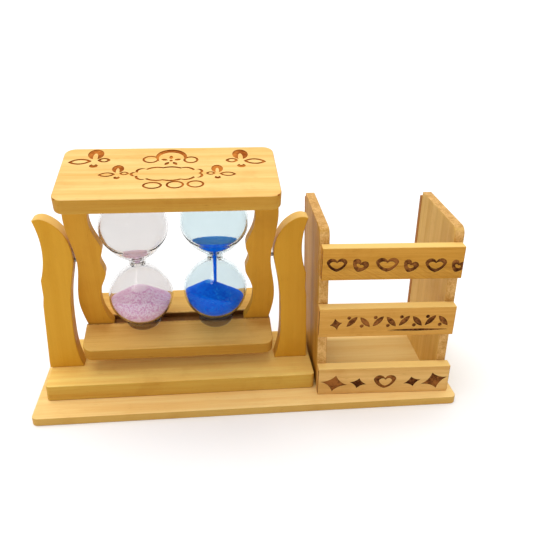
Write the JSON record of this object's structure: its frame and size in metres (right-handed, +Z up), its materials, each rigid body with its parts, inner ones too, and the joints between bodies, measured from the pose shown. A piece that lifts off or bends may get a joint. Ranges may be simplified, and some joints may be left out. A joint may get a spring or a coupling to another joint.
{
  "type": "hourglass",
  "caption": "Double sand timer in a wooden frame that turns over between two posts, beside an open pen holder with three front slats, on one flat base.",
  "frame": {"origin": "centre of the base board's underside, on the surface that it stands on", "axes": "+X along the base towards the pen holder, +Y to the back, +Z up"},
  "size_m": [0.21, 0.07, 0.1225],
  "materials": {
    "base_pine": "bare pine, sanded",
    "post_wood": "mustard stained wood, satin",
    "board_pine": "pale pine, satin, burnt ornaments",
    "panel_pine": "bare pine, sanded",
    "dark_strip": "dark orange-brown stain",
    "slat_wood": "bare pine, burnt ornaments",
    "pin_steel": "drawn wire",
    "clear_glass": "clear blown glass",
    "pink_sand": "fine glittering grains",
    "blue_sand": "fine grains"
  },
  "bodies": {
    "stand": {"base_board": "base_pine", "plinth_board": "base_pine", "left_post": "post_wood", "right_post": "post_wood", "left_pivot_pin": "pin_steel", "right_pivot_pin": "pin_steel", "pen_left_panel": "panel_pine", "pen_right_panel": "panel_pine", "pen_left_rear_strip": "dark_strip", "pen_right_rear_strip": "dark_strip", "slat_top": "slat_wood", "slat_middle": "slat_wood", "slat_bottom": "slat_wood"},
    "swing_frame": {"frame_top_board": "board_pine", "frame_bottom_board": "board_pine", "frame_left_side": "post_wood", "frame_right_side": "post_wood", "pink_vial_glass": "clear_glass", "blue_vial_glass": "clear_glass", "pink_sand_lower": "pink_sand", "pink_sand_upper": "pink_sand", "blue_sand_lower": "blue_sand", "blue_sand_upper": "blue_sand", "blue_sand_stream": "blue_sand"}
  },
  "joints": [
    {"name": "frame_turn", "type": "hinge", "parent": "stand", "child": "swing_frame", "pos_m": [-0.0345, -0.001, 0.07145], "axis": [1, 0, 0], "continuous": true}
  ]
}
